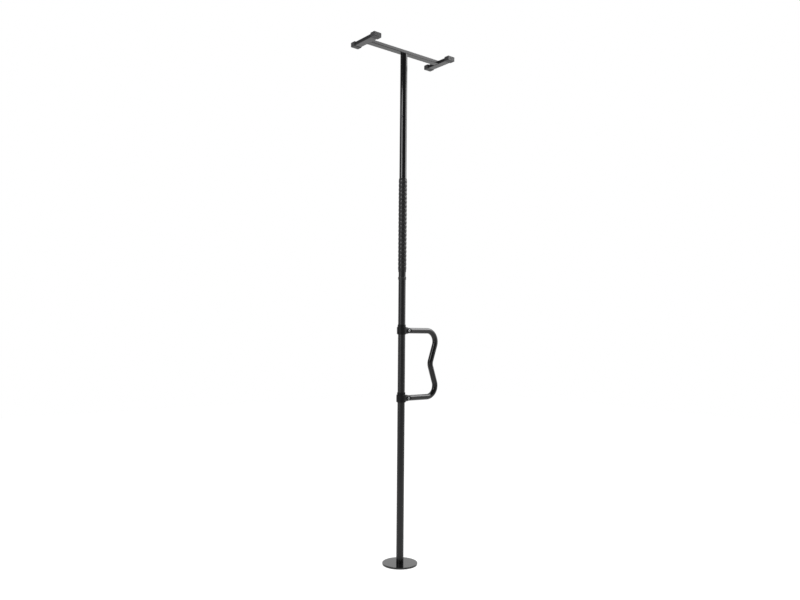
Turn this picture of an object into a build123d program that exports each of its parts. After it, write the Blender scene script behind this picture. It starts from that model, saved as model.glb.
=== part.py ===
from build123d import *
import math
import os

os.makedirs("parts", exist_ok=True)

# ----------------------------------------------------------------------
# Floor-to-ceiling transfer pole with a swivelling bent grab bar.
# Millimetres.  Origin: centre of the round base on the floor, +Z up the
# pole.  X runs along the ceiling cross bar and the grab bar (+X is the
# side the grab bar points to), Y runs along the two short ceiling arms.
# Front is -Y.
# ----------------------------------------------------------------------

# --- driving dimensions -------------------------------------------------
# base
BASE_R = 90.5            # round floor plate
BASE_T = 6.1
BASE_PAD_T = 3.0         # rubber sheet under the plate
BASE_PAD_R = 89.3
BASE_EDGE = 1.6          # rounding of the plate's top edge
SPIGOT_R = 17.5          # plug that locates the lower tube
SPIGOT_H = 66.0
BASE_SCREW_R = 5.0
BASE_SCREW_HEAD_R = 10.0
BASE_SCREW_HEAD_H = 5.0

# tubes
POLE_R = 19.05           # lower tube, 38.1 mm outside
POLE_WALL = 1.5
POLE_BORE_R = POLE_R - POLE_WALL
UP_R = 19.05             # turning tubes, same size as the lower one
UP_WALL = 1.5
UP_BORE_R = UP_R - UP_WALL
JACK_R = 17.45           # inner tube that slides into the lower tube
JACK_WALL = 1.5
JACK_BORE_R = JACK_R - JACK_WALL
Z_BASE_TOP = BASE_PAD_T + BASE_T
Z_POLE_TOP = 1476.0
Z_TURN_LOW = 1480.4      # lower end of the turning tube, just above the collar
Z_JACK_LOW = 1278.0      # ends of the inner jack tube
Z_JACK_TOP = 1640.0
Z_SEAM = 2312.0          # butt joint of the two turning tubes
SEAM_GAP = 0.6
Z_BAR_LOW = 2665.0       # underside of the ceiling cross bar

# collar on the mouth of the lower tube
COLLAR_R = 21.3
COLLAR_Z0 = 1466.0
COLLAR_Z1 = 1480.0

# screw jack inside the lower tube
ANCHOR_Z0 = 1232.0
ANCHOR_Z1 = 1262.0
JACK_SCREW_R = 10.0
JACK_SCREW_TOP = 1409.0
JACK_NUT_L = 30.0
THREAD_CLEAR = 0.08
STOP_R = 14.0
STOP_T = 3.0

# ribbed grip
GRIP_Z0 = 1506.0
GRIP_Z1 = 1998.4
GRIP_RIBS = 22
GRIP_PITCH = 21.75
GRIP_TOP_BAND = 3.5
GRIP_PEAK_R = 22.3
GRIP_GROOVE_R = 20.7
GRIP_GROOVE_W = 3.0
GRIP_IN_R = 19.1

# joint between the two turning tubes
LINK_R = 17.5
LINK_WALL = 2.0
LINK_BORE_R = LINK_R - LINK_WALL
LINK_Z0 = 2236.0
LINK_Z1 = 2392.0
BUTTON_Z = 2327.0
BUTTON_ANGLE = 210.0     # direction the button faces, degrees from +X
BUTTON_R = 4.7
BUTTON_HOLE_R = 5.0
BUTTON_TIP = 21.8        # distance of the domed tip from the pole axis
BUTTON_BACK = 12.6
BUTTON_FLANGE_R = 6.0
BUTTON_FLANGE_T = 1.3
STRIP_T = 0.8

# ceiling bracket
BAR_W = 37.0
BAR_H = 17.0
BAR_WALL = 2.0
ARM_X = 250.5            # centre of each short arm from the pole axis
ARM_W = 40.0
ARM_H = 19.0
ARM_WALL = 2.0
ARM_HALF = 96.0          # half length of the arm tube
PAD_HALF = 100.0         # half length over the rubber pads
PAD_W = 47.0
PAD_Z0 = 2662.5
PAD_Z1 = 2687.0
PAD_L = 31.0
PAD_GROOVES = 4
SWIVEL_R = 6.0
SWIVEL_BUSH_R = 10.0
SWIVEL_HEAD_R = 10.0
SWIVEL_HEAD_H = 3.6
WASHER_T = 2.0
PLUG_L = 30.0

# grab bar
HUB_R = 25.2
HUB_H = 37.5
NECK_H = 12.5            # part of the liner that stands above the hub
NECK_R = 21.5
LINER_R = 20.9
LINER_BORE_R = POLE_R + 0.1
HUB_BORE_R = LINER_R + 0.08
LIP_R = 22.0             # lip of the liner under the hub
LIP_H = 2.0
HUB_SLIT = 6.0           # slit that lets the hub's ring close on the pole
LINER_SLIT = 2.4
Z_ARM_TOP = 1200.0       # grab bar arm levels
Z_ARM_LOW = 848.0
GRAB_R = 15.0            # grab bar tube, 30 mm outside
GRAB_WALL = 2.0
GRAB_X0 = 26.2           # end of the tube beside the hub
GRAB_CORNER_X = 256.2    # where the slanted runs meet the arm levels
GRAB_WAIST_X = 196.2
GRAB_BEND_R = 58.0
GRAB_WAIST_R = 50.0
EAR_X = 57.5
EAR_HALF_H = 13.6
EAR_R = 19.4
BOLT_X = 33.0
BOLT_R = 4.0
BOLT_HEAD_R = 6.6
BOLT_HEAD_H = 4.6
NUT_AF = 13.0
NUT_H = 7.0
INSERT_L = 40.0


# ======================================================================
# Floor base
# ======================================================================

# rubber sheet that grips the floor
with BuildPart() as floor_pad:
    with BuildSketch(Plane.XY):
        Circle(BASE_PAD_R)
        Circle(14.0, mode=Mode.SUBTRACT)
    extrude(amount=BASE_PAD_T)
    # shallow ring grooves in the underside
    for r in (34.0, 50.0, 66.0, 80.0):
        with BuildSketch(Plane.XY):
            Circle(r + 1.2)
            Circle(r - 1.2, mode=Mode.SUBTRACT)
        extrude(amount=0.8, mode=Mode.SUBTRACT)
floor_pad.part.label = "floor_pad"

# steel floor plate, rounded top edge, countersunk underneath
with BuildPart() as base_plate:
    with BuildSketch(Plane.XY.offset(BASE_PAD_T)):
        Circle(BASE_R)
    extrude(amount=BASE_T)
    fillet(base_plate.edges().filter_by(GeomType.CIRCLE).group_by(Axis.Z)[-1], BASE_EDGE)
    fillet(base_plate.edges().filter_by(GeomType.CIRCLE).group_by(Axis.Z)[0], 0.8)
    with BuildSketch(Plane.XY.offset(BASE_PAD_T)):
        Circle(BASE_SCREW_R + 0.3)
    extrude(amount=BASE_T, mode=Mode.SUBTRACT)
    with BuildSketch(Plane.XY.offset(BASE_PAD_T)):
        Circle(BASE_SCREW_HEAD_R + 0.3)
    extrude(amount=BASE_SCREW_HEAD_H + 0.1, taper=45.0, mode=Mode.SUBTRACT)
base_plate.part.label = "base_plate"

# steel plug that stands on the plate inside the lower tube
with BuildPart() as base_spigot:
    with BuildSketch(Plane.XY.offset(Z_BASE_TOP)):
        Circle(SPIGOT_R)
        Circle(BASE_SCREW_R + 0.02, mode=Mode.SUBTRACT)
    extrude(amount=SPIGOT_H)
    chamfer(base_spigot.edges().filter_by(GeomType.CIRCLE).group_by(Axis.Z)[-1].sort_by(SortBy.RADIUS)[-1], 2.0)
base_spigot.part.label = "base_spigot"

# countersunk screw from below, through the plate into the plug
with BuildPart() as base_screw:
    with BuildSketch(Plane.XY.offset(BASE_PAD_T + 0.1)):
        Circle(BASE_SCREW_HEAD_R)
    extrude(amount=BASE_SCREW_HEAD_H - 0.1, taper=45.0)
    with BuildSketch(Plane.XY.offset(BASE_PAD_T + 1.0)):
        Circle(BASE_SCREW_R)
    extrude(amount=38.0)
    with BuildSketch(Plane.XY.offset(BASE_PAD_T + 0.1)):
        RegularPolygon(3.5, 6)
    extrude(amount=3.4, mode=Mode.SUBTRACT)
base_screw.part.label = "base_screw"

# ======================================================================
# Lower tube and what is fixed in it
# ======================================================================

with BuildPart() as lower_tube:
    with BuildSketch(Plane.XY.offset(Z_BASE_TOP)):
        Circle(POLE_R)
        Circle(POLE_BORE_R, mode=Mode.SUBTRACT)
    extrude(amount=Z_POLE_TOP - Z_BASE_TOP)
lower_tube.part.label = "lower_tube"

# moulded collar that caps the mouth of the lower tube and guides the jack tube
with BuildPart() as top_collar:
    with BuildSketch(Plane.XZ):
        with BuildLine():
            Polyline(
                (POLE_R, COLLAR_Z0),
                (COLLAR_R - 0.7, COLLAR_Z0),
                (COLLAR_R, COLLAR_Z0 + 0.9),
                (COLLAR_R, COLLAR_Z1 - 2.2),
                (COLLAR_R - 1.3, COLLAR_Z1),
                (POLE_BORE_R + 0.4, COLLAR_Z1),
                (POLE_BORE_R, COLLAR_Z1 - 0.4),
                (POLE_BORE_R, Z_POLE_TOP),
                (POLE_R, Z_POLE_TOP),
                close=True,
            )
        make_face()
    revolve(axis=Axis.Z)
top_collar.part.label = "top_collar"

# plug welded inside the lower tube, carries the fixed jack screw
with BuildPart() as screw_anchor:
    with BuildSketch(Plane.XY.offset(ANCHOR_Z0)):
        Circle(POLE_BORE_R - 0.03)
        Circle(JACK_SCREW_R + 0.02, mode=Mode.SUBTRACT)
    extrude(amount=ANCHOR_Z1 - ANCHOR_Z0)
    chamfer(screw_anchor.edges().filter_by(GeomType.CIRCLE).sort_by(SortBy.RADIUS)[-2:], 1.0)
screw_anchor.part.label = "screw_anchor"

# jack screw; the thread is held at its outside diameter
with BuildPart() as jack_screw:
    with BuildSketch(Plane.XY.offset(ANCHOR_Z0)):
        Circle(JACK_SCREW_R)
    extrude(amount=JACK_SCREW_TOP - ANCHOR_Z0)
    with BuildSketch(Plane.XY.offset(JACK_SCREW_TOP)):
        Circle(3.05)
    extrude(amount=-24.0, mode=Mode.SUBTRACT)
jack_screw.part.label = "jack_screw"

# washer and screw that stop the nut running off the top
with BuildPart() as stop_washer:
    with BuildSketch(Plane.XY.offset(JACK_SCREW_TOP)):
        Circle(STOP_R)
        Circle(3.3, mode=Mode.SUBTRACT)
    extrude(amount=STOP_T)
stop_washer.part.label = "stop_washer"

with BuildPart() as stop_screw:
    with BuildSketch(Plane.XY.offset(JACK_SCREW_TOP + STOP_T)):
        RegularPolygon(5.75, 6)
    extrude(amount=4.0)
    with BuildSketch(Plane.XY.offset(JACK_SCREW_TOP + STOP_T)):
        Circle(3.0)
    extrude(amount=-20.0)
stop_screw.part.label = "stop_screw"

# ======================================================================
# Turning tubes with the ribbed grip
# ======================================================================

BUTTON_DIR = Vector(math.cos(math.radians(BUTTON_ANGLE)), math.sin(math.radians(BUTTON_ANGLE)), 0)
BUTTON_PLANE = Plane(origin=(0, 0, BUTTON_Z), x_dir=(0, 0, 1), z_dir=BUTTON_DIR)

# tube under and above the grip; its lower end meets the collar
with BuildPart() as turning_tube:
    with BuildSketch(Plane.XY.offset(Z_TURN_LOW)):
        Circle(UP_R)
        Circle(UP_BORE_R, mode=Mode.SUBTRACT)
    extrude(amount=Z_SEAM - SEAM_GAP - Z_TURN_LOW)
    chamfer(turning_tube.edges().filter_by(GeomType.CIRCLE).sort_by(SortBy.RADIUS)[-2:], 0.5)
turning_tube.part.label = "turning_tube"

# thinner tube pressed into the turning tube, it turns and slides in the lower tube
with BuildPart() as jack_tube:
    with BuildSketch(Plane.XY.offset(Z_JACK_LOW)):
        Circle(JACK_R)
        Circle(JACK_BORE_R, mode=Mode.SUBTRACT)
    extrude(amount=Z_JACK_TOP - Z_JACK_LOW)
    chamfer(jack_tube.edges().filter_by(GeomType.CIRCLE).sort_by(SortBy.RADIUS)[-2:], 0.5)
jack_tube.part.label = "jack_tube"

# nut in the lower end of the jack tube
with BuildPart() as jack_nut:
    with BuildSketch(Plane.XY.offset(Z_JACK_LOW)):
        Circle(JACK_BORE_R - 0.03)
        Circle(JACK_SCREW_R + THREAD_CLEAR, mode=Mode.SUBTRACT)
    extrude(amount=JACK_NUT_L)
jack_nut.part.label = "jack_nut"

# moulded grip sleeve, one rounded ring after another
with BuildPart() as grip_sleeve:
    with BuildSketch(Plane.XZ):
        with BuildLine():
            z = GRIP_Z1 - GRIP_TOP_BAND
            pts = [(GRIP_IN_R, GRIP_Z1), (GRIP_GROOVE_R - 0.3, GRIP_Z1)]
            Line(pts[0], pts[1])
            Line(pts[1], (GRIP_GROOVE_R, GRIP_Z1 - 1.0))
            Line((GRIP_GROOVE_R, GRIP_Z1 - 1.0), (GRIP_GROOVE_R, z))
            for i in range(GRIP_RIBS):
                z_top = z - GRIP_GROOVE_W / 2
                z_bot = z - GRIP_PITCH + GRIP_GROOVE_W / 2
                Line((GRIP_GROOVE_R, z), (GRIP_GROOVE_R, z_top))
                ThreePointArc(
                    (GRIP_GROOVE_R, z_top),
                    (GRIP_PEAK_R, (z_top + z_bot) / 2),
                    (GRIP_GROOVE_R, z_bot),
                )
                Line((GRIP_GROOVE_R, z_bot), (GRIP_GROOVE_R, z - GRIP_PITCH))
                z = z - GRIP_PITCH
            Line((GRIP_GROOVE_R, z), (GRIP_GROOVE_R, GRIP_Z0 + 1.5))
            Line((GRIP_GROOVE_R, GRIP_Z0 + 1.5), (GRIP_GROOVE_R - 0.8, GRIP_Z0))
            Line((GRIP_GROOVE_R - 0.8, GRIP_Z0), (GRIP_IN_R, GRIP_Z0))
            Line((GRIP_IN_R, GRIP_Z0), (GRIP_IN_R, GRIP_Z1))
        make_face()
    revolve(axis=Axis.Z)
grip_sleeve.part.label = "grip_sleeve"

# short inner tube that joins the two turning tubes
with BuildPart() as link_tube:
    with BuildSketch(Plane.XY.offset(LINK_Z0)):
        Circle(LINK_R)
        Circle(LINK_BORE_R, mode=Mode.SUBTRACT)
    extrude(amount=LINK_Z1 - LINK_Z0)
    with BuildSketch(BUTTON_PLANE):
        Circle(BUTTON_HOLE_R)
    extrude(amount=30.0, mode=Mode.SUBTRACT)
link_tube.part.label = "link_tube"

with BuildPart() as upper_tube:
    with BuildSketch(Plane.XY.offset(Z_SEAM)):
        Circle(UP_R)
        Circle(UP_BORE_R, mode=Mode.SUBTRACT)
    extrude(amount=Z_BAR_LOW - WASHER_T - Z_SEAM)
    chamfer(upper_tube.edges().filter_by(GeomType.CIRCLE).group_by(Axis.Z)[0].sort_by(SortBy.RADIUS)[-1], 0.5)
    with BuildSketch(BUTTON_PLANE):
        Circle(BUTTON_HOLE_R)
    extrude(amount=30.0, mode=Mode.SUBTRACT)
upper_tube.part.label = "upper_tube"

# plug in the top of the upper tube
with BuildPart() as top_plug:
    with BuildSketch(Plane.XY.offset(Z_BAR_LOW - WASHER_T - PLUG_L)):
        Circle(UP_BORE_R - 0.03)
        Circle(SWIVEL_R + 0.02, mode=Mode.SUBTRACT)
    extrude(amount=PLUG_L)
top_plug.part.label = "top_plug"

# bolt that the ceiling bracket swivels on, screwed fast into the plug
SWIVEL_TOP = Z_BAR_LOW + BAR_H + 0.3
with BuildPart() as swivel_bolt:
    with BuildSketch(Plane.XY.offset(SWIVEL_TOP)):
        Circle(SWIVEL_HEAD_R)
    extrude(amount=SWIVEL_HEAD_H)
    fillet(swivel_bolt.edges().filter_by(GeomType.CIRCLE).group_by(Axis.Z)[-1], 1.2)
    with BuildSketch(Plane.XY.offset(SWIVEL_TOP)):
        Circle(SWIVEL_R)
    extrude(amount=-(SWIVEL_TOP - (Z_BAR_LOW - WASHER_T - PLUG_L + 3.0)))
    with BuildSketch(Plane.XY.offset(SWIVEL_TOP + SWIVEL_HEAD_H)):
        RegularPolygon(4.0, 6)
    extrude(amount=-2.6, mode=Mode.SUBTRACT)
swivel_bolt.part.label = "swivel_bolt"

# ======================================================================
# Spring button that locks the two turning tubes together
# ======================================================================

with BuildPart() as snap_button:
    with BuildSketch(BUTTON_PLANE.offset(BUTTON_BACK + BUTTON_FLANGE_T)):
        Circle(BUTTON_R)
    extrude(amount=BUTTON_TIP - BUTTON_BACK - BUTTON_FLANGE_T)
    fillet(snap_button.faces().filter_by(GeomType.PLANE).sort_by(Axis(origin=(0, 0, 0), direction=BUTTON_DIR))[-1].edges(), 2.4)
    with BuildSketch(BUTTON_PLANE.offset(BUTTON_BACK)):
        Circle(BUTTON_FLANGE_R)
    extrude(amount=BUTTON_FLANGE_T)
snap_button.part.label = "snap_button"

# spring strip behind the button, its foot bent out to the tube wall
with BuildPart() as button_spring:
    with BuildSketch(BUTTON_PLANE.offset(BUTTON_BACK - STRIP_T)):
        with Locations((-27.0, 0)):
            Rectangle(70.0, 8.0)
    extrude(amount=STRIP_T)
    with BuildSketch(BUTTON_PLANE.offset(BUTTON_BACK - STRIP_T)):
        with Locations((-61.6, 0)):
            Rectangle(STRIP_T, 8.0)
    extrude(amount=STRIP_T + 2.0)
button_spring.part.label = "button_spring"

# ======================================================================
# Ceiling bracket
# ======================================================================

Z_BAR_MID = Z_BAR_LOW + BAR_H / 2

with BuildPart() as cross_bar:
    with BuildSketch(Plane.YZ.offset(-(ARM_X - ARM_W / 2))):
        with Locations((0, Z_BAR_MID)):
            RectangleRounded(BAR_W, BAR_H, 2.6)
            RectangleRounded(BAR_W - 2 * BAR_WALL, BAR_H - 2 * BAR_WALL, 1.0, mode=Mode.SUBTRACT)
    extrude(amount=2 * (ARM_X - ARM_W / 2))
    with BuildSketch(Plane.XY.offset(Z_BAR_LOW)):
        Circle(SWIVEL_BUSH_R + 0.02)
    extrude(amount=BAR_H, mode=Mode.SUBTRACT)
cross_bar.part.label = "cross_bar"

# steel bush through the bar that the swivel bolt turns in
with BuildPart() as bar_bush:
    with BuildSketch(Plane.XY.offset(Z_BAR_LOW)):
        Circle(SWIVEL_BUSH_R)
        Circle(SWIVEL_R + 0.08, mode=Mode.SUBTRACT)
    extrude(amount=BAR_H)
bar_bush.part.label = "bar_bush"

# slippery washer between the tube's end and the bar
with BuildPart() as thrust_washer:
    with BuildSketch(Plane.XY.offset(Z_BAR_LOW - WASHER_T)):
        Circle(UP_R - 0.8)
        Circle(SWIVEL_R + 0.4, mode=Mode.SUBTRACT)
    extrude(amount=WASHER_T)
thrust_washer.part.label = "thrust_washer"

Z_ARM_MID = Z_BAR_MID

with BuildPart() as left_arm:
    with BuildSketch(Plane.XZ.offset(-ARM_HALF)):
        with Locations((-ARM_X, Z_ARM_MID)):
            RectangleRounded(ARM_W, ARM_H, 2.6)
            RectangleRounded(ARM_W - 2 * ARM_WALL, ARM_H - 2 * ARM_WALL, 1.0, mode=Mode.SUBTRACT)
    extrude(amount=2 * ARM_HALF)
left_arm.part.label = "left_arm"

with BuildPart() as right_arm:
    with BuildSketch(Plane.XZ.offset(-ARM_HALF)):
        with Locations((ARM_X, Z_ARM_MID)):
            RectangleRounded(ARM_W, ARM_H, 2.6)
            RectangleRounded(ARM_W - 2 * ARM_WALL, ARM_H - 2 * ARM_WALL, 1.0, mode=Mode.SUBTRACT)
    extrude(amount=2 * ARM_HALF)
right_arm.part.label = "right_arm"

# rubber pads pushed over the four arm ends; the grooved top meets the ceiling
PADS = {}
for pad_name, sx, sy in (
    ("left_front_pad", -1, -1),
    ("left_rear_pad", -1, 1),
    ("right_front_pad", 1, -1),
    ("right_rear_pad", 1, 1),
):
    y_out = sy * PAD_HALF
    y_in = sy * (PAD_HALF - PAD_L)
    with BuildPart() as pad:
        # Plane.XZ faces -Y, so its offset is -y
        with BuildSketch(Plane.XZ.offset(-max(y_out, y_in))):
            with Locations((sx * ARM_X, (PAD_Z0 + PAD_Z1) / 2)):
                RectangleRounded(PAD_W, PAD_Z1 - PAD_Z0, 3.0)
        extrude(amount=PAD_L)
        out_face = pad.faces().sort_by(Axis.Y)[-1 if sy > 0 else 0]
        fillet(out_face.edges(), 2.0)
        in_face = pad.faces().filter_by(Axis.Y).sort_by(Axis.Y)[0 if sy > 0 else -1]
        chamfer(in_face.edges(), 0.8)
        # pocket for the arm end
        with BuildSketch(Plane.XZ.offset(-max(sy * ARM_HALF, y_in))):
            with Locations((sx * ARM_X, Z_ARM_MID)):
                RectangleRounded(ARM_W, ARM_H, 2.6)
        extrude(amount=ARM_HALF - (PAD_HALF - PAD_L), mode=Mode.SUBTRACT)
        # grip grooves across the top
        with BuildSketch(Plane.XY.offset(PAD_Z1)):
            with Locations(*[
                (sx * ARM_X, sy * (PAD_HALF - PAD_L + 5.5 + 6.6 * k)) for k in range(PAD_GROOVES)
            ]):
                Rectangle(PAD_W - 8.0, 1.8)
        extrude(amount=-1.0, mode=Mode.SUBTRACT)
    pad.part.label = pad_name
    PADS[pad_name] = pad

# ======================================================================
# Grab bar
# ======================================================================

Z_WAIST = (Z_ARM_TOP + Z_ARM_LOW) / 2

# bent tube: arm, corner bend, slanted run, waist, slanted run, corner bend, arm
with BuildPart() as grab_bar_tube:
    with BuildLine() as grab_path:
        FilletPolyline(
            (GRAB_X0, 0, Z_ARM_TOP),
            (GRAB_CORNER_X, 0, Z_ARM_TOP),
            (GRAB_WAIST_X, 0, Z_WAIST),
            (GRAB_CORNER_X, 0, Z_ARM_LOW),
            (GRAB_X0, 0, Z_ARM_LOW),
            radius=(GRAB_BEND_R, GRAB_WAIST_R, GRAB_BEND_R),
        )
    with BuildSketch(Plane(origin=(GRAB_X0, 0, Z_ARM_TOP), x_dir=(0, 1, 0), z_dir=(1, 0, 0))):
        Circle(GRAB_R)
        Circle(GRAB_R - GRAB_WALL, mode=Mode.SUBTRACT)
    sweep()
    # bolt holes near both ends
    with BuildSketch(Plane.XZ.offset(-30.0)):
        with Locations((BOLT_X, Z_ARM_TOP), (BOLT_X, Z_ARM_LOW)):
            Circle(BOLT_R + 0.05)
    extrude(amount=60.0, mode=Mode.SUBTRACT)
grab_bar_tube.part.label = "grab_bar_tube"

# plugs inside the tube ends, so that the bolts can't crush them
with BuildPart() as tube_inserts:
    for z in (Z_ARM_TOP, Z_ARM_LOW):
        with BuildSketch(Plane.YZ.offset(GRAB_X0 + 0.4)):
            with Locations((0, z)):
                Circle(GRAB_R - GRAB_WALL - 0.05)
        extrude(amount=INSERT_L)
    with BuildSketch(Plane.XZ.offset(-30.0)):
        with Locations((BOLT_X, Z_ARM_TOP), (BOLT_X, Z_ARM_LOW)):
            Circle(BOLT_R + 0.05)
    extrude(amount=60.0, mode=Mode.SUBTRACT)
tube_inserts.part.label = "tube_inserts"

# hubs: a split ring round the pole with two curved ears; one bolt through
# the ears holds the tube end and closes the ring on its liner
HUBS = {}
for hub_name, zc in (("upper_hub", Z_ARM_TOP), ("lower_hub", Z_ARM_LOW)):
    z0 = zc - HUB_H / 2
    with BuildPart() as hub:
        # ears: a rounded tongue seen from the front, curved about the tube
        with BuildSketch(Plane.XZ.offset(-EAR_R)):
            with BuildLine():
                Line((0, zc + EAR_HALF_H), (EAR_X - 22.0, zc + EAR_HALF_H))
                EllipticalCenterArc(
                    (EAR_X - 22.0, zc), 22.0, EAR_HALF_H, start_angle=-90.0, arc_size=180.0
                )
                Line((EAR_X - 22.0, zc - EAR_HALF_H), (0, zc - EAR_HALF_H))
                Line((0, zc - EAR_HALF_H), (0, zc + EAR_HALF_H))
            make_face()
        extrude(amount=2 * EAR_R)
        with BuildSketch(Plane.YZ) as ear_round:
            with Locations((0, zc)):
                Circle(EAR_R)
        extrude(amount=EAR_X + 5.0, mode=Mode.INTERSECT)
        # flat bosses under the bolt head and the nut
        with BuildSketch(Plane.XZ.offset(-(EAR_R + 0.6))):
            with Locations((BOLT_X, zc)):
                Circle(9.0)
        extrude(amount=2 * (EAR_R + 0.6))
        # ring
        with BuildSketch(Plane.XY.offset(z0)):
            Circle(HUB_R)
        extrude(amount=HUB_H)
        chamfer(hub.faces().filter_by(Axis.Z).sort_by(Axis.Z)[-1].edges().filter_by(GeomType.CIRCLE), 1.2)
        chamfer(hub.faces().filter_by(Axis.Z).sort_by(Axis.Z)[0].edges().filter_by(GeomType.CIRCLE), 1.2)
        # channel for the tube end
        with BuildSketch(Plane.YZ.offset(GRAB_X0 - 0.4)):
            with Locations((0, zc)):
                Circle(GRAB_R + 0.03)
        extrude(amount=EAR_X, mode=Mode.SUBTRACT)
        # bore for the liner
        with BuildSketch(Plane.XY.offset(z0)):
            Circle(HUB_BORE_R)
        extrude(amount=HUB_H, mode=Mode.SUBTRACT)
        # slit behind the tube end, between the two ears
        with BuildSketch(Plane.XY.offset(z0)):
            with Locations((HUB_R, 0)):
                Rectangle(14.0, HUB_SLIT)
        extrude(amount=HUB_H, mode=Mode.SUBTRACT)
        # bolt hole
        with BuildSketch(Plane.XZ.offset(-30.0)):
            with Locations((BOLT_X, zc)):
                Circle(BOLT_R + 0.05)
        extrude(amount=60.0, mode=Mode.SUBTRACT)
    hub.part.label = hub_name
    HUBS[hub_name] = hub

# liners: thin split sleeves in the hubs; the neck shows above the hub and a
# lip under it keeps the two together
LINERS = {}
for liner_name, zc in (("upper_liner", Z_ARM_TOP), ("lower_liner", Z_ARM_LOW)):
    zb = zc - HUB_H / 2
    zt = zc + HUB_H / 2
    with BuildPart() as liner:
        with BuildSketch(Plane.XZ):
            with BuildLine():
                Polyline(
                    (LINER_BORE_R, zb - LIP_H),
                    (LIP_R - 0.6, zb - LIP_H),
                    (LIP_R, zb - LIP_H + 0.6),
                    (LIP_R, zb - 0.1),
                    (LINER_R, zb - 0.1),
                    (LINER_R, zt + 0.1),
                    (NECK_R, zt + 0.1),
                    (NECK_R, zt + NECK_H - 1.2),
                    (NECK_R - 1.2, zt + NECK_H),
                    (LINER_BORE_R, zt + NECK_H),
                    close=True,
                )
            make_face()
        revolve(axis=Axis.Z)
        with BuildSketch(Plane.XY.offset(zb - LIP_H)):
            with Locations((-NECK_R, 0)):
                Rectangle(12.0, LINER_SLIT)
        extrude(amount=HUB_H + LIP_H + NECK_H, mode=Mode.SUBTRACT)
    liner.part.label = liner_name
    LINERS[liner_name] = liner

# bolts from the front, nuts at the back
with BuildPart() as clamp_bolts:
    for z in (Z_ARM_TOP, Z_ARM_LOW):
        with BuildSketch(Plane.XZ.offset(EAR_R + 0.6)):
            with Locations((BOLT_X, z)):
                Circle(BOLT_HEAD_R)
        extrude(amount=BOLT_HEAD_H)
    fillet(clamp_bolts.edges().filter_by(GeomType.CIRCLE).group_by(Axis.Y)[0], 2.2)
    with BuildSketch(Plane.XZ.offset(EAR_R + 0.6)):
        with Locations((BOLT_X, Z_ARM_TOP), (BOLT_X, Z_ARM_LOW)):
            Circle(BOLT_R)
    extrude(amount=-(2 * EAR_R + 1.2 + NUT_H + 1.5))
    with BuildSketch(Plane.XZ.offset(EAR_R + 0.6 + BOLT_HEAD_H)):
        with Locations((BOLT_X, Z_ARM_TOP), (BOLT_X, Z_ARM_LOW)):
            RegularPolygon(2.9, 6)
    extrude(amount=-2.6, mode=Mode.SUBTRACT)
clamp_bolts.part.label = "clamp_bolts"

with BuildPart() as clamp_nuts:
    for z in (Z_ARM_TOP, Z_ARM_LOW):
        with BuildSketch(Plane.XZ.offset(-(EAR_R + 0.6))):
            with Locations((BOLT_X, z)):
                RegularPolygon(NUT_AF / 2, 6, major_radius=False)
        extrude(amount=-NUT_H)
    with BuildSketch(Plane.XZ.offset(-(EAR_R + 0.6))):
        with Locations((BOLT_X, Z_ARM_TOP), (BOLT_X, Z_ARM_LOW)):
            Circle(BOLT_R + 0.02)
    extrude(amount=-NUT_H - 2.0, mode=Mode.SUBTRACT)
clamp_nuts.part.label = "clamp_nuts"

# ======================================================================
# Export, one file per piece
# ======================================================================

PIECES = {
    "floor_pad": floor_pad,
    "base_plate": base_plate,
    "base_spigot": base_spigot,
    "base_screw": base_screw,
    "lower_tube": lower_tube,
    "top_collar": top_collar,
    "screw_anchor": screw_anchor,
    "jack_screw": jack_screw,
    "stop_washer": stop_washer,
    "stop_screw": stop_screw,
    "turning_tube": turning_tube,
    "jack_tube": jack_tube,
    "jack_nut": jack_nut,
    "grip_sleeve": grip_sleeve,
    "link_tube": link_tube,
    "upper_tube": upper_tube,
    "top_plug": top_plug,
    "swivel_bolt": swivel_bolt,
    "snap_button": snap_button,
    "button_spring": button_spring,
    "cross_bar": cross_bar,
    "bar_bush": bar_bush,
    "thrust_washer": thrust_washer,
    "left_arm": left_arm,
    "right_arm": right_arm,
    "grab_bar_tube": grab_bar_tube,
    "tube_inserts": tube_inserts,
    "clamp_bolts": clamp_bolts,
    "clamp_nuts": clamp_nuts,
}
PIECES.update(PADS)
PIECES.update(HUBS)
PIECES.update(LINERS)

for piece_name, piece in PIECES.items():
    export_step(piece.part, "parts/" + piece_name + ".step")
    print(piece_name, len(piece.part.solids()), round(piece.part.volume, 1))
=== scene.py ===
import math

import bmesh
import bpy
import numpy as np
from mathutils import Matrix, Vector


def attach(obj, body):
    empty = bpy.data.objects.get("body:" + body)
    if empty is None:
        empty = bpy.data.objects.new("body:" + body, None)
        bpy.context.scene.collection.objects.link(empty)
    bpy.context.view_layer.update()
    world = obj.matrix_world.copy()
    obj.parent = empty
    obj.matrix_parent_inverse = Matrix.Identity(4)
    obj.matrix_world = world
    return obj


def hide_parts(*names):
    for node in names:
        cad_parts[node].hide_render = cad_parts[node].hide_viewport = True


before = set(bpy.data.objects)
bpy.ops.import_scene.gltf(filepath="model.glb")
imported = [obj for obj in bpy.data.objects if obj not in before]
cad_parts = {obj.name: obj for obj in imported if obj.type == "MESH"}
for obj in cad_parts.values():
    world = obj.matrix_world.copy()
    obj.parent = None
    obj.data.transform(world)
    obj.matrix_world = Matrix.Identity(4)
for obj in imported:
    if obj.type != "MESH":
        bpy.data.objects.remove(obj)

# ----------------------------------------------------------------------
# Looks of a floor-to-ceiling transfer pole: glossy black steel tubes, a
# ribbed grip, a bent grab bar on two clamp hubs, a round floor plate and a
# ceiling bracket with four rubber pads.  Metres, in the CAD frame.
# ----------------------------------------------------------------------

for stray in ("Cube", "Light", "Camera"):
    o = bpy.data.objects.get(stray)
    if o is not None and o not in list(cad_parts.values()):
        bpy.data.objects.remove(o, do_unlink=True)

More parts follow.
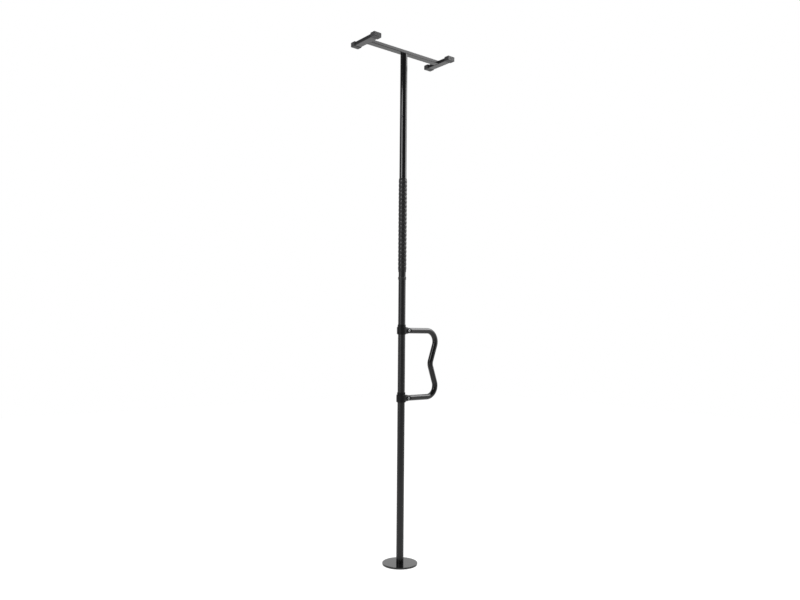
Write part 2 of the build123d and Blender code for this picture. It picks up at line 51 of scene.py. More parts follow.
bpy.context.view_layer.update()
MM = 0.001
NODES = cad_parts
scene = bpy.context.scene
scene.view_settings.view_transform = "Standard"
scene.view_settings.look = "None"

# the sizes that the pieces below share with the CAD, in millimetres
POLE_R, POLE_WALL = 19.05, 1.5
UP_R, UP_WALL = 19.05, 1.5
Z_PLATE_LOW, Z_PLATE_TOP = 3.0, 9.1
PLATE_R = 90.5
Z_POLE_TOP = 1476.0
Z_TURN_LOW = 1480.4
JACK_R, JACK_WALL, Z_JACK_LOW, Z_JACK_TOP = 17.45, 1.5, 1278.0, 1640.0
Z_SEAM, SEAM_GAP = 2312.0, 0.6
Z_BAR_LOW, BAR_W, BAR_H, BAR_WALL = 2665.0, 37.0, 17.0, 2.0
WASHER_T = 2.0
ARM_X, ARM_W, ARM_H, ARM_WALL, ARM_HALF = 250.5, 40.0, 19.0, 2.0, 96.0
Z_BAR_MID = Z_BAR_LOW + BAR_H / 2
GRIP_Z0, GRIP_Z1, GRIP_RIBS, GRIP_PITCH = 1506.0, 1998.4, 22, 21.75
GRIP_TOP_BAND, GRIP_PEAK_R, GRIP_GROOVE_R = 3.5, 22.3, 20.7
GRIP_GROOVE_W, GRIP_IN_R = 3.0, 19.1
BUTTON_Z, BUTTON_ANGLE, BUTTON_HOLE_R = 2327.0, 210.0, 5.0
Z_ARM_TOP, Z_ARM_LOW = 1200.0, 848.0
GRAB_R, GRAB_WALL, GRAB_X0 = 15.0, 2.0, 26.2
GRAB_CORNER_X, GRAB_WAIST_X = 256.2, 196.2
GRAB_BEND_R, GRAB_WAIST_R = 58.0, 50.0
HUB_R, HUB_H, HUB_BORE_R, HUB_SLIT = 25.2, 37.5, 20.98, 6.0
EAR_X, EAR_HALF_H, EAR_R, BOLT_X = 57.5, 13.6, 19.4, 33.0
SOCKET_R = 17.3
COLLAR_R, COLLAR_Z0, COLLAR_Z1 = 21.3, 1466.0, 1480.0
LINER_BORE_R, LINER_R, LINER_SLIT = 19.15, 20.9, 2.4
LIP_R, LIP_H, NECK_R, NECK_H = 22.0, 2.0, 21.5, 12.5


# ======================================================================
# Materials
# ======================================================================


class Mat:
    """A principled material whose colour, roughness and relief come from nodes."""

    def __init__(self, name, ior=1.5, metallic=0.0, specular=0.5, coat=0.0, coat_rough=0.05, sheen=0.0, sheen_rough=0.5, anisotropic=0.0):
        self.mat = bpy.data.materials.new(name)
        self.mat.use_nodes = True
        self.tree = self.mat.node_tree
        self.nodes, self.links = self.tree.nodes, self.tree.links
        self.bsdf = next(n for n in self.nodes if n.type == "BSDF_PRINCIPLED")
        b = self.bsdf.inputs
        b["IOR"].default_value = ior
        b["Metallic"].default_value = metallic
        b["Specular IOR Level"].default_value = specular
        b["Coat Weight"].default_value = coat
        b["Coat Roughness"].default_value = coat_rough
        b["Sheen Weight"].default_value = sheen
        b["Sheen Roughness"].default_value = sheen_rough
        b["Anisotropic"].default_value = anisotropic
        self.coords = self.nodes.new("ShaderNodeTexCoord").outputs["Object"]

    def put(self, kind, **values):
        n = self.nodes.new(kind)
        for k, v in values.items():
            setattr(n, k, v)
        return n

    def mapped(self, scale=(1, 1, 1)):
        m = self.put("ShaderNodeMapping")
        m.inputs["Scale"].default_value = scale
        self.links.new(self.coords, m.inputs["Vector"])
        return m.outputs["Vector"]

    def noise(self, scale, detail=3.0, roughness=0.55, stretch=(1, 1, 1), distortion=0.0):
        n = self.put("ShaderNodeTexNoise")
        n.inputs["Scale"].default_value = scale
        n.inputs["Detail"].default_value = detail
        n.inputs["Roughness"].default_value = roughness
        n.inputs["Distortion"].default_value = distortion
        self.links.new(self.mapped(stretch), n.inputs["Vector"])
        return n.outputs["Fac"]

    def voronoi(self, scale, stretch=(1, 1, 1), feature="F1"):
        n = self.put("ShaderNodeTexVoronoi", feature=feature)
        n.inputs["Scale"].default_value = scale
        self.links.new(self.mapped(stretch), n.inputs["Vector"])
        return n.outputs["Distance"]

    def fit(self, value, lo, hi, to_lo, to_hi, smooth=False):
        n = self.put("ShaderNodeMapRange", clamp=True)
        if smooth:
            n.interpolation_type = "SMOOTHSTEP"
        self.links.new(value, n.inputs["Value"])
        n.inputs["From Min"].default_value = lo
        n.inputs["From Max"].default_value = hi
        n.inputs["To Min"].default_value = to_lo
        n.inputs["To Max"].default_value = to_hi
        return n.outputs["Result"]

    def math(self, op, a, b=None):
        n = self.put("ShaderNodeMath", operation=op)
        for slot, v in ((0, a), (1, b)):
            if v is None:
                continue
            if isinstance(v, (int, float)):
                n.inputs[slot].default_value = v
            else:
                self.links.new(v, n.inputs[slot])
        return n.outputs[0]

    def radius(self, x0=0.0, y0=0.0):
        """Distance from a vertical axis, in metres."""
        s = self.put("ShaderNodeSeparateXYZ")
        self.links.new(self.coords, s.inputs[0])
        dx = self.math("SUBTRACT", s.outputs["X"], x0)
        dy = self.math("SUBTRACT", s.outputs["Y"], y0)
        return self.math("SQRT", self.math("ADD", self.math("MULTIPLY", dx, dx), self.math("MULTIPLY", dy, dy)))

    def height(self):
        s = self.put("ShaderNodeSeparateXYZ")
        self.links.new(self.coords, s.inputs[0])
        return s.outputs["Z"]

    def colour(self, fac, dark, light):
        n = self.put("ShaderNodeMix", data_type="RGBA", clamp_factor=True)
        self.links.new(fac, n.inputs["Factor"])
        n.inputs["A"].default_value = (*dark, 1)
        n.inputs["B"].default_value = (*light, 1)
        return n.outputs["Result"]

    def blend_colour(self, fac, a, b):
        n = self.put("ShaderNodeMix", data_type="RGBA", clamp_factor=True)
        self.links.new(fac, n.inputs["Factor"])
        for name, v in (("A", a), ("B", b)):
            if isinstance(v, tuple):
                n.inputs[name].default_value = (*v, 1)
            else:
                self.links.new(v, n.inputs[name])
        return n.outputs["Result"]

    def base(self, out):
        self.links.new(out, self.bsdf.inputs["Base Color"])

    def rough(self, out):
        self.links.new(out, self.bsdf.inputs["Roughness"])

    def relief(self, *layers):
        """layers are (height, strength, distance in metres)."""
        last = None
        for height, strength, distance in layers:
            n = self.put("ShaderNodeBump")
            n.inputs["Strength"].default_value = strength
            n.inputs["Distance"].default_value = distance
            self.links.new(height, n.inputs["Height"])
            if last is not None:
                self.links.new(last, n.inputs["Normal"])
            last = n.outputs["Normal"]
        self.links.new(last, self.bsdf.inputs["Normal"])


def gloss_tube():
    """Glossy black enamel of the turning tubes and the grab bar: faint orange peel, handling smudges."""
    m = Mat("gloss_black_enamel", ior=1.46)
    wide = m.noise(4.0, 2.0)
    m.base(m.colour(m.fit(wide, 0.35, 0.65, 0, 1), (0.0020, 0.0020, 0.0024), (0.0040, 0.0040, 0.0046)))
    smudge = m.noise(38.0, 4.0, 0.6, stretch=(1, 1, 0.45))
    lines = m.noise(900.0, 2.0, 0.5, stretch=(1, 1, 0.02))
    m.rough(m.math("ADD", m.fit(smudge, 0.42, 0.70, 0.085, 0.115, True), m.fit(lines, 0.60, 0.78, 0.0, 0.03)))
    peel = m.noise(420.0, 1.5, 0.4)
    m.relief((peel, 0.05, 0.00008))
    return m.mat


def satin_tube():
    """Satin black powder coat of the lower tube: fine grain, soft sheen, light slide marks along it."""
    m = Mat("satin_black_powder_coat", ior=1.45)
    wide = m.noise(3.0, 3.0)
    m.base(m.colour(m.fit(wide, 0.35, 0.65, 0, 1), (0.0024, 0.0024, 0.0028), (0.0046, 0.0046, 0.0052)))
    cloud = m.noise(16.0, 4.0, 0.6)
    marks = m.noise(1400.0, 2.0, 0.5, stretch=(1, 1, 0.012))
    z = m.height()
    band = m.math("MULTIPLY", m.fit(z, 0.50, 0.58, 0, 1, True), m.fit(z, 1.40, 1.45, 1, 0, True))
    worn = m.math("MULTIPLY", m.fit(marks, 0.58, 0.75, 0.0, 0.07), band)
    m.rough(m.math("SUBTRACT", m.fit(cloud, 0.35, 0.65, 0.25, 0.32, True), worn))
    grain = m.noise(1500.0, 2.0, 0.5)
    m.relief((grain, 0.16, 0.00010))
    return m.mat


def plate_enamel():
    """Glossy enamel of the floor plate: mirror-like top with faint scuffs and a slightly rubbed rim."""
    m = Mat("floor_plate_enamel")
    r = m.radius()
    rim = m.fit(r, 0.0872, 0.0904, 0, 1, True)
    chips = m.math("MULTIPLY", rim, m.fit(m.noise(260.0, 5.0, 0.7), 0.60, 0.72, 0, 1))
    plain = m.colour(m.fit(m.noise(9.0, 3.0), 0.35, 0.65, 0, 1), (0.0040, 0.0040, 0.0048), (0.0070, 0.0070, 0.0080))
    m.base(m.blend_colour(m.math("MULTIPLY", chips, 0.6), plain, (0.045, 0.045, 0.047)))
    smudge = m.fit(m.noise(30.0, 5.0, 0.65), 0.45, 0.75, 0.055, 0.13, True)
    scuff = m.fit(m.noise(60.0, 3.0, 0.5, stretch=(9, 0.8, 1), distortion=0.6), 0.68, 0.80, 0.0, 0.12)
    m.rough(m.math("ADD", m.math("ADD", smudge, scuff), m.math("MULTIPLY", rim, 0.10)))
    m.relief((m.noise(150.0, 1.5, 0.4), 0.05, 0.00012))
    return m.mat


def bar_enamel():
    """Black enamel of the square tubes of the ceiling bracket."""
    m = Mat("bracket_enamel")
    m.base(m.colour(m.fit(m.noise(7.0, 3.0), 0.35, 0.65, 0, 1), (0.0080, 0.0080, 0.0088), (0.0125, 0.0125, 0.0135)))
    m.rough(m.fit(m.noise(45.0, 4.0, 0.6), 0.35, 0.70, 0.10, 0.16, True))
    m.relief((m.noise(480.0, 2.0, 0.45), 0.06, 0.00010))
    return m.mat


def grip_rubber():
    """Soft moulded grip: painted shade in the darker grooves, a painted highlight in the lighter grey of the rings,
    which are also smoother; fine stipple.
    """
    m = Mat("grip_rubber", ior=1.46, specular=0.34)
    r = m.radius()
    crest = m.fit(r, 0.0210, 0.0223, 0, 1, True)
    painted_crest_highlight = m.colour(m.fit(m.noise(22.0, 4.0, 0.6), 0.35, 0.7, 0, 1), (0.0150, 0.0150, 0.0155), (0.0210, 0.0210, 0.0216))
    # painted highlight: the rings take the lighter grey; painted shade: the grooves take the near-black
    m.base(m.blend_colour(m.math("SUBTRACT", 1.0, crest), painted_crest_highlight, (0.0070, 0.0070, 0.0074)))
    m.rough(m.math("ADD", m.fit(crest, 0, 1, 0.48, 0.20), m.fit(m.noise(70.0, 3.0, 0.6), 0.35, 0.7, -0.02, 0.05)))
    m.relief((m.voronoi(1300.0), 0.14, 0.00010), (m.noise(300.0, 2.0), 0.08, 0.00010))
    return m.mat


def pad_rubber():
    """Grey-black rubber of the ceiling pads and the floor sheet."""
    m = Mat("pad_rubber", ior=1.48, sheen=0.03, sheen_rough=0.5)
    dusty = m.fit(m.noise(55.0, 5.0, 0.65), 0.42, 0.72, 0, 1)
    m.base(m.colour(dusty, (0.015, 0.015, 0.016), (0.026, 0.026, 0.027)))
    m.rough(m.fit(m.noise(90.0, 3.0, 0.6), 0.35, 0.7, 0.48, 0.62))
    m.relief((m.noise(1100.0, 3.0, 0.6), 0.30, 0.00014))
    return m.mat


def black_plastic():
    """Moulded black plastic and castings: spark-eroded texture, low sheen."""
    m = Mat("moulded_black", ior=1.46, specular=0.17)
    m.base(m.colour(m.fit(m.noise(40.0, 4.0, 0.6), 0.35, 0.7, 0, 1), (0.0046, 0.0046, 0.0050), (0.0070, 0.0070, 0.0075)))
    m.rough(m.fit(m.noise(120.0, 3.0, 0.6), 0.35, 0.7, 0.34, 0.44))
    m.relief((m.voronoi(1900.0), 0.20, 0.00010), (m.noise(700.0, 2.0), 0.12, 0.00010))
    return m.mat


def collar_plastic():
    """Nylon of the collar and thrust washer: a shade greyer and more matt than the castings."""
    m = Mat("collar_nylon", ior=1.5, specular=0.40)
    m.base(m.colour(m.fit(m.noise(60.0, 4.0, 0.6), 0.35, 0.7, 0, 1), (0.0110, 0.0110, 0.0114), (0.0180, 0.0180, 0.0184)))
    m.rough(m.fit(m.noise(150.0, 3.0, 0.6), 0.35, 0.7, 0.36, 0.48))
    m.relief((m.voronoi(1700.0), 0.16, 0.00010), (m.noise(600.0, 2.0), 0.10, 0.00010))
    return m.mat


def plated_steel():
    """Bright zinc plating of the clamp screws: clear finish with a light brushed grain."""
    m = Mat("bright_plated_steel", metallic=1.0)
    m.base(m.colour(m.fit(m.noise(180.0, 4.0, 0.6), 0.35, 0.7, 0, 1), (0.26, 0.265, 0.27), (0.38, 0.385, 0.39)))
    m.rough(m.math("ADD", m.fit(m.noise(220.0, 3.0, 0.6), 0.35, 0.7, 0.16, 0.26), m.fit(m.noise(2600.0, 2.0, 0.5, stretch=(1, 1, 0.05)), 0.55, 0.8, 0.0, 0.08)))
    m.relief((m.noise(1500.0, 2.0, 0.5, stretch=(1, 0.1, 1)), 0.08, 0.00006))
    return m.mat


def dark_steel():
    """Blackened spring steel of the locking button."""
    m = Mat("blackened_steel", metallic=1.0)
    m.base(m.colour(m.fit(m.noise(400.0, 4.0, 0.6), 0.35, 0.7, 0, 1), (0.045, 0.045, 0.048), (0.085, 0.085, 0.090)))
    m.rough(m.fit(m.noise(600.0, 3.0, 0.6), 0.35, 0.7, 0.24, 0.36))
    m.relief((m.noise(1800.0, 2.0), 0.08, 0.00005))
    return m.mat


def turned_steel():
    """Machined steel of the jack, plugs and bolts: turning lines round the axis."""
    m = Mat("turned_steel", metallic=1.0, anisotropic=0.4)
    m.base(m.colour(m.fit(m.noise(90.0, 4.0, 0.6), 0.35, 0.7, 0, 1), (0.36, 0.36, 0.37), (0.50, 0.50, 0.51)))
    lines = m.noise(1600.0, 2.0, 0.5, stretch=(0.03, 0.03, 1))
    m.rough(m.fit(lines, 0.35, 0.7, 0.26, 0.40))
    m.relief((lines, 0.15, 0.00006))
    return m.mat


def turned_brass():
    """Machined brass of the jack nut."""
    m = Mat("turned_brass", metallic=1.0)
    m.base(m.colour(m.fit(m.noise(120.0, 4.0, 0.6), 0.35, 0.7, 0, 1), (0.60, 0.42, 0.17), (0.72, 0.53, 0.24)))
    lines = m.noise(1500.0, 2.0, 0.5, stretch=(0.03, 0.03, 1))
    m.rough(m.fit(lines, 0.35, 0.7, 0.22, 0.36))
    m.relief((lines, 0.12, 0.00006))
    return m.mat


GLOSS, SATIN, PLATE, BAR = gloss_tube(), satin_tube(), plate_enamel(), bar_enamel()
GRIP, PAD, PLASTIC, NYLON = grip_rubber(), pad_rubber(), black_plastic(), collar_plastic()
BRIGHT, DARK, STEEL, BRASS = plated_steel(), dark_steel(), turned_steel(), turned_brass()

for names, mat in (
    (("floor_pad", "left_front_pad", "left_rear_pad", "right_front_pad", "right_rear_pad"), PAD),
    (("base_spigot", "base_screw", "screw_anchor", "jack_screw", "stop_washer", "stop_screw", "link_tube", "top_plug", "button_spring", "bar_bush", "swivel_bolt"), STEEL),
    (("jack_nut",), BRASS),
    (("thrust_washer",), NYLON),
    (("tube_inserts",), PLASTIC),
    (("clamp_bolts", "clamp_nuts"), BRIGHT),
    (("snap_button",), DARK),
):
    for n in names:
        for s in NODES[n].material_slots:
            s.material = mat


# ======================================================================
# Mesh helpers
# ======================================================================


def even(ob):
    """Lets the large faces rule the shading, so that flats stay flat up to their rounded edges."""
    mod = ob.modifiers.new("even_shading", "WEIGHTED_NORMAL")
    mod.mode, mod.weight, mod.keep_sharp = "FACE_AREA", 50, True


def piece(name, verts, faces, mat, body, stands_for=(), angle=32.0, outward=True):
    """A mesh piece from points in millimetres, smooth except over edges sharper than angle."""
    me = bpy.data.meshes.new(name)
    me.from_pydata([tuple(c * MM for c in v) for v in verts], [], [tuple(int(i) for i in f) for f in faces])
    if outward:
        bm = bmesh.new()
        bm.from_mesh(me)
        bmesh.ops.recalc_face_normals(bm, faces=bm.faces)
        bm.to_mesh(me)
        bm.free()
    me.polygons.foreach_set("use_smooth", [True] * len(me.polygons))
    me.set_sharp_from_angle(angle=math.radians(angle))
    me.materials.append(mat)
    ob = bpy.data.objects.new(name, me)
    scene.collection.objects.link(ob)
    even(ob)
    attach(ob, body)
    if stands_for:
        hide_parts(*stands_for)
    return ob


def rounded(points, radii, steps=5):
    """A closed outline with its corners rounded. radii has one radius per corner."""
    out, n = [], len(points)
    for i, (p, r) in enumerate(zip(points, radii)):
        p = Vector(p)
        if r <= 0:
            out.append(tuple(p))
            continue
        a = (Vector(points[i - 1]) - p).normalized()
        b = (Vector(points[(i + 1) % n]) - p).normalized()
        half = a.angle(b) / 2
        cut = r / math.tan(half)
        centre = p + (a + b).normalized() * (r / math.sin(half))
        s, e = p + a * cut - centre, p + b * cut - centre
        turn = s.angle_signed(e)
        for k in range(steps + 1):
            t = turn * k / steps
            c, q = math.cos(t), math.sin(t)
            out.append((centre.x + s.x * c + s.y * q, centre.y - s.x * q + s.y * c))
    return out


def lathe(outline, turns=128, start=0.0):
    """A closed (radius, height) outline turned round the pole's axis."""
    m = len(outline)
    verts = [
        (r * math.cos(start + 2 * math.pi * j / turns), r * math.sin(start + 2 * math.pi * j / turns), z)
        for r, z in outline
        for j in range(turns)
    ]
    faces = [
        (i * turns + j, ((i + 1) % m) * turns + j, ((i + 1) % m) * turns + (j + 1) % turns, i * turns + (j + 1) % turns)
        for i in range(m)
        for j in range(turns)
    ]
    return verts, faces


def split_lathe(outline, slit, turns=128):
    """Like lathe, but left open along a slit on the -X side."""
    m, n = len(outline), turns + 1
    verts, faces = [], []
    for r, z in outline:
        gap = math.asin(slit / 2 / r)
        for j in range(n):
            t = -math.pi + gap + 2 * (math.pi - gap) * j / turns
            verts.append((r * math.cos(t), r * math.sin(t), z))
    for i in range(m):
        k = (i + 1) % m
        faces += [(i * n + j, k * n + j, k * n + j + 1, i * n + j + 1) for j in range(turns)]
    faces.append(tuple(i * n for i in range(m)))
    faces.append(tuple(i * n + turns for i in reversed(range(m))))
    return verts, faces


def tube_outline(r, wall, z0, z1, edge=0.35, cuts=()):
    """The outline of a tube with softened edges. cuts are heights where its walls get an extra ring."""
    inner = r - wall
    corners = [(inner, z0), (r, z0), *[(r, z) for z in cuts], (r, z1), (inner, z1), *[(inner, z) for z in reversed(cuts)]]
    radii = [edge, edge, *[0] * len(cuts), edge, edge, *[0] * len(cuts)]
    return rounded(corners, radii, 3)


def cut_hole(ob, centre, direction, radius, depth, turns=48):
    """Cuts a round hole through ob. Millimetres."""
    bm = bmesh.new()
    d = Vector(direction).normalized()
    bmesh.ops.create_cone(bm, cap_ends=True, segments=turns, radius1=radius * MM, radius2=radius * MM, depth=depth * MM)
    bm.transform(Matrix.Translation(Vector(centre) * MM) @ d.to_track_quat("Z", "Y").to_matrix().to_4x4())
    me = bpy.data.meshes.new("cutter")
    bm.to_mesh(me)
    bm.free()
    cutter = bpy.data.objects.new("cutter", me)
    scene.collection.objects.link(cutter)
    ob.modifiers.clear()
    mod = ob.modifiers.new("hole", "BOOLEAN")
    mod.operation, mod.solver, mod.object = "DIFFERENCE", "EXACT", cutter
    bpy.context.view_layer.update()
    cut = bpy.data.meshes.new_from_object(ob.evaluated_get(bpy.context.evaluated_depsgraph_get()))
    ob.modifiers.clear()
    old, ob.data = ob.data, cut
    bpy.data.meshes.remove(old)
    bpy.data.objects.remove(cutter, do_unlink=True)
    bpy.data.meshes.remove(me)
    ob.data.name = ob.name
    ob.data.polygons.foreach_set("use_smooth", [True] * len(ob.data.polygons))
    ob.data.set_sharp_from_angle(angle=math.radians(32))
    even(ob)
    return ob


# ======================================================================
# Floor plate and tubes
# ======================================================================

# the plate: rounded rim, countersunk hole underneath
plate = rounded(
    [
        (10.3, Z_PLATE_LOW),
        (PLATE_R, Z_PLATE_LOW),
        (PLATE_R, Z_PLATE_TOP),
        (5.3, Z_PLATE_TOP),
        (5.3, Z_PLATE_LOW + 5.1),
    ],
    [0, 0.8, 1.6, 0, 0],
    7,
)
verts, faces = lathe(plate, 256)
piece("floor_plate", verts, faces, PLATE, "floor_post", ["base_plate"])

# lower tube: stands on the plate, its end softly rounded at the collar
verts, faces = lathe(tube_outline(POLE_R, POLE_WALL, Z_PLATE_TOP, Z_POLE_TOP, 0.3, [300.0, 600.0, 900.0, 1200.0]), 144)
piece("lower_tube_steel", verts, faces, SATIN, "floor_post", ["lower_tube"])

# moulded collar on its mouth, with a fine moulding line round it
bore = POLE_R - POLE_WALL
mid = (COLLAR_Z0 + COLLAR_Z1) / 2 - 1.5
verts, faces = lathe(
    rounded(
        [
            (POLE_R, COLLAR_Z0),
            (COLLAR_R, COLLAR_Z0),
            (COLLAR_R, mid - 0.6),
            (COLLAR_R - 0.35, mid - 0.3),
            (COLLAR_R - 0.35, mid + 0.3),
            (COLLAR_R, mid + 0.6),
            (COLLAR_R, COLLAR_Z1),
            (bore, COLLAR_Z1),
            (bore, Z_POLE_TOP),
            (POLE_R, Z_POLE_TOP),
        ],
        [0, 0.9, 0.15, 0, 0, 0.15, 1.7, 0.4, 0, 0],
        6,
    ),
    160,
)
piece("collar_moulding", verts, faces, NYLON, "floor_post", ["top_collar"])

# turning tube that stands over it and carries the grip
verts, faces = lathe(tube_outline(UP_R, UP_WALL, Z_TURN_LOW, Z_SEAM - SEAM_GAP, 0.5, [1520.0, 1760.0, 2000.0, 2160.0]), 144)
piece("turning_tube_steel", verts, faces, GLOSS, "turning_pole", ["turning_tube"])

# thinner bright tube inside it that shows when the pole is screwed up
verts, faces = lathe(tube_outline(JACK_R, JACK_WALL, Z_JACK_LOW, Z_JACK_TOP, 0.5, [1340.0, 1400.0, 1470.0, 1540.0, 1600.0]), 144)
piece("jack_tube_steel", verts, faces, STEEL, "turning_pole", ["jack_tube"])

# upper tube, with the hole for the locking button
verts, faces = lathe(tube_outline(UP_R, UP_WALL, Z_SEAM, Z_BAR_LOW - WASHER_T, 0.5, [2312.0 + 40.0, 2440.0, 2560.0]), 144, math.radians(BUTTON_ANGLE))
upper = piece("upper_tube_steel", verts, faces, GLOSS, "turning_pole", ["upper_tube"])
aim = Vector((math.cos(math.radians(BUTTON_ANGLE)), math.sin(math.radians(BUTTON_ANGLE)), 0))
cut_hole(upper, aim * (UP_R + 2.0) + Vector((0, 0, BUTTON_Z)), aim, BUTTON_HOLE_R, 14.0)

# ======================================================================
# Ribbed grip: 22 rounded rings, each groove with soft shoulders
# ======================================================================


def grip_outline():
    pts = [(GRIP_IN_R, GRIP_Z1), (GRIP_GROOVE_R - 1.0, GRIP_Z1)]
    for k in range(1, 5):  # rounded top lip
        t = math.pi / 2 * k / 4
        pts.append((GRIP_GROOVE_R - 1.0 + math.sin(t), GRIP_Z1 - 1.0 + math.cos(t)))
    z = GRIP_Z1 - GRIP_TOP_BAND
    half = (GRIP_PITCH - GRIP_GROOVE_W) / 2
    rise = GRIP_PEAK_R - GRIP_GROOVE_R
    big = (half * half + rise * rise) / (2 * rise)  # radius of the ring's arc
    for _ in range(GRIP_RIBS):
        mid = z - GRIP_PITCH / 2
        pts.append((GRIP_GROOVE_R, z))
        for k in range(-8, 9):
            s = k / 8
            dz = -half * s
            r = GRIP_PEAK_R - big + math.sqrt(big * big - dz * dz)
            edge = max(0.0, abs(s) - 0.86) / 0.14  # soft shoulder into the groove
            r -= 0.0 if edge <= 0 else 0.10 * (1 - edge) * edge
            pts.append((r, mid - half * s))
        z -= GRIP_PITCH
        pts.append((GRIP_GROOVE_R, z))
    for k in range(0, 5):  # rounded lower lip
        t = math.pi / 2 * k / 4
        pts.append((GRIP_GROOVE_R - 1.0 + math.cos(t), GRIP_Z0 + 1.0 - math.sin(t)))
    pts.append((GRIP_IN_R, GRIP_Z0))
    clean = [pts[0]]
    for p in pts[1:]:
        if math.dist(p, clean[-1]) > 1e-4:
            clean.append(p)
    return clean


verts, faces = lathe(grip_outline(), 128)
piece("ribbed_grip", verts, faces, GRIP, "turning_pole", ["grip_sleeve"], 50.0)


# ======================================================================
# Ceiling bracket: square tubes with rounded corners and weld seams
# ======================================================================


def box_loop(w, h, r, steps=8):
    """A rounded rectangle about the origin, as (u, v) points."""
    return rounded([(-w / 2, -h / 2), (w / 2, -h / 2), (w / 2, h / 2), (-w / 2, h / 2)], [r] * 4, steps)


def box_tube(w, h, wall, r, a0, a1, place, stations=6):
    """A rectangular tube from a0 to a1. place(u, v, a) gives a point."""
    outer, inner = box_loop(w, h, r), box_loop(w - 2 * wall, h - 2 * wall, 1.0)
    n = len(outer)
    levels = [a0 + (a1 - a0) * k / stations for k in range(stations + 1)]
    verts = [place(u, v, a) for a in levels for u, v in outer] + [place(u, v, a) for a in levels for u, v in inner]
    off, faces = n * len(levels), []
    for k in range(stations):
        for j in range(n):
            q = (k * n + j, k * n + (j + 1) % n, (k + 1) * n + (j + 1) % n, (k + 1) * n + j)
            faces.append(q)
            faces.append(tuple(i + off for i in reversed(q)))
    for k in (0, stations):
        for j in range(n):
            q = (k * n + j, k * n + (j + 1) % n, off + k * n + (j + 1) % n, off + k * n + j)
            faces.append(q if k else tuple(reversed(q)))
    return verts, faces


reach = ARM_X - ARM_W / 2
verts, faces = box_tube(BAR_W, BAR_H, BAR_WALL, 2.6, -reach, reach, lambda u, v, a: (a, u, v + Z_BAR_MID))
bar = piece("cross_bar_section", verts, faces, BAR, "ceiling_head", ["cross_bar"])
cut_hole(bar, (0, 0, Z_BAR_MID), (0, 0, 1), 10.02, 30.0, 64)
for side, name in ((-1, "left_arm"), (1, "right_arm")):
    verts, faces = box_tube(
        ARM_W, ARM_H, ARM_WALL, 2.6, -ARM_HALF, ARM_HALF, lambda u, v, a, s=side: (u + s * ARM_X, a, v + Z_BAR_MID)
    )
    piece(name + "_section", verts, faces, BAR, "ceiling_head", [name])

    # weld seam where the bar meets the arm: a rippled bead round the joint
    loop = box_loop(BAR_W, BAR_H, 2.6, 10)
    path, dense = [], []
    for i, (u, v) in enumerate(loop):
        u2, v2 = loop[(i + 1) % len(loop)]
        steps = max(1, int(math.hypot(u2 - u, v2 - v) / 0.55))
        dense += [(u + (u2 - u) * k / steps, v + (v2 - v) * k / steps) for k in range(steps)]
    n, around = len(dense), 10
    verts, faces = [], []
    run = 0.0
    for i, (u, v) in enumerate(dense):
        un, vn = dense[(i + 1) % n]
        up, vp = dense[i - 1]
        tu, tv = un - up, vn - vp
        length = math.hypot(tu, tv)
        nu, nv = tv / length, -tu / length  # outward from the bar
        run += length / 2
        size = 1.55 + 0.16 * math.sin(2 * math.pi * run / 2.3) + 0.10 * math.sin(0.61 * run + side)
        for k in range(around):
            t = 2 * math.pi * k / around
            out, along = size * math.cos(t) * 0.95, size * math.sin(t)
            verts.append((side * (reach - 0.15) - side * along * 0.9, u + nu * (out - 0.2), v + nv * (out - 0.2) + Z_BAR_MID))
    for i in range(n):
        for k in range(around):
            faces.append((i * around + k, i * around + (k + 1) % around, ((i + 1) % n) * around + (k + 1) % around, ((i + 1) % n) * around + k))
    piece(name + "_weld", verts, faces, BAR, "ceiling_head", (), 60.0)


# ======================================================================
# Grab bar: one bent tube, a touch flattened in its bends
# ======================================================================


def bent_path():
    """Stations (point, tangent, bend share) along the tube's centre line, in X and Z."""
    zm = (Z_ARM_TOP + Z_ARM_LOW) / 2
    knots = [
        (GRAB_X0, Z_ARM_TOP, 0),
        (GRAB_CORNER_X, Z_ARM_TOP, GRAB_BEND_R),
        (GRAB_WAIST_X, zm, GRAB_WAIST_R),
        (GRAB_CORNER_X, Z_ARM_LOW, GRAB_BEND_R),
        (GRAB_X0, Z_ARM_LOW, 0),
    ]
    out = []
    for i, (x, z, r) in enumerate(knots):
        p = Vector((x, z))
        if i == 0:
            d = (Vector(knots[1][:2]) - p).normalized()
            out += [(p + d * s, d, 0.0) for s in (0.0, 3.0, 30.0)]
            continue
        a = (p - Vector(knots[i - 1][:2])).normalized()
        if i == len(knots) - 1:
            out += [(p - a * s, a, 0.0) for s in (30.0, 3.0, 0.0)]
            continue
        b = (Vector(knots[i + 1][:2]) - p).normalized()
        turn = a.angle_signed(b)  # clockwise is positive
        cut = r * math.tan(abs(turn) / 2)
        start = p - a * cut
        side = Vector((a.y, -a.x)) if turn > 0 else Vector((-a.y, a.x))
        centre = start + side * r
        steps = max(12, int(math.degrees(abs(turn)) / 3))
        for k in range(steps + 1):
            t = turn * k / steps
            c, s = math.cos(-t), math.sin(-t)
            arm = start - centre
            pt = centre + Vector((arm.x * c - arm.y * s, arm.x * s + arm.y * c))
            tan = Vector((a.x * c - a.y * s, a.x * s + a.y * c))
            out.append((pt, tan, math.sin(math.pi * k / steps) ** 0.5 * (1 if r < 55 else 0.9)))
    return out


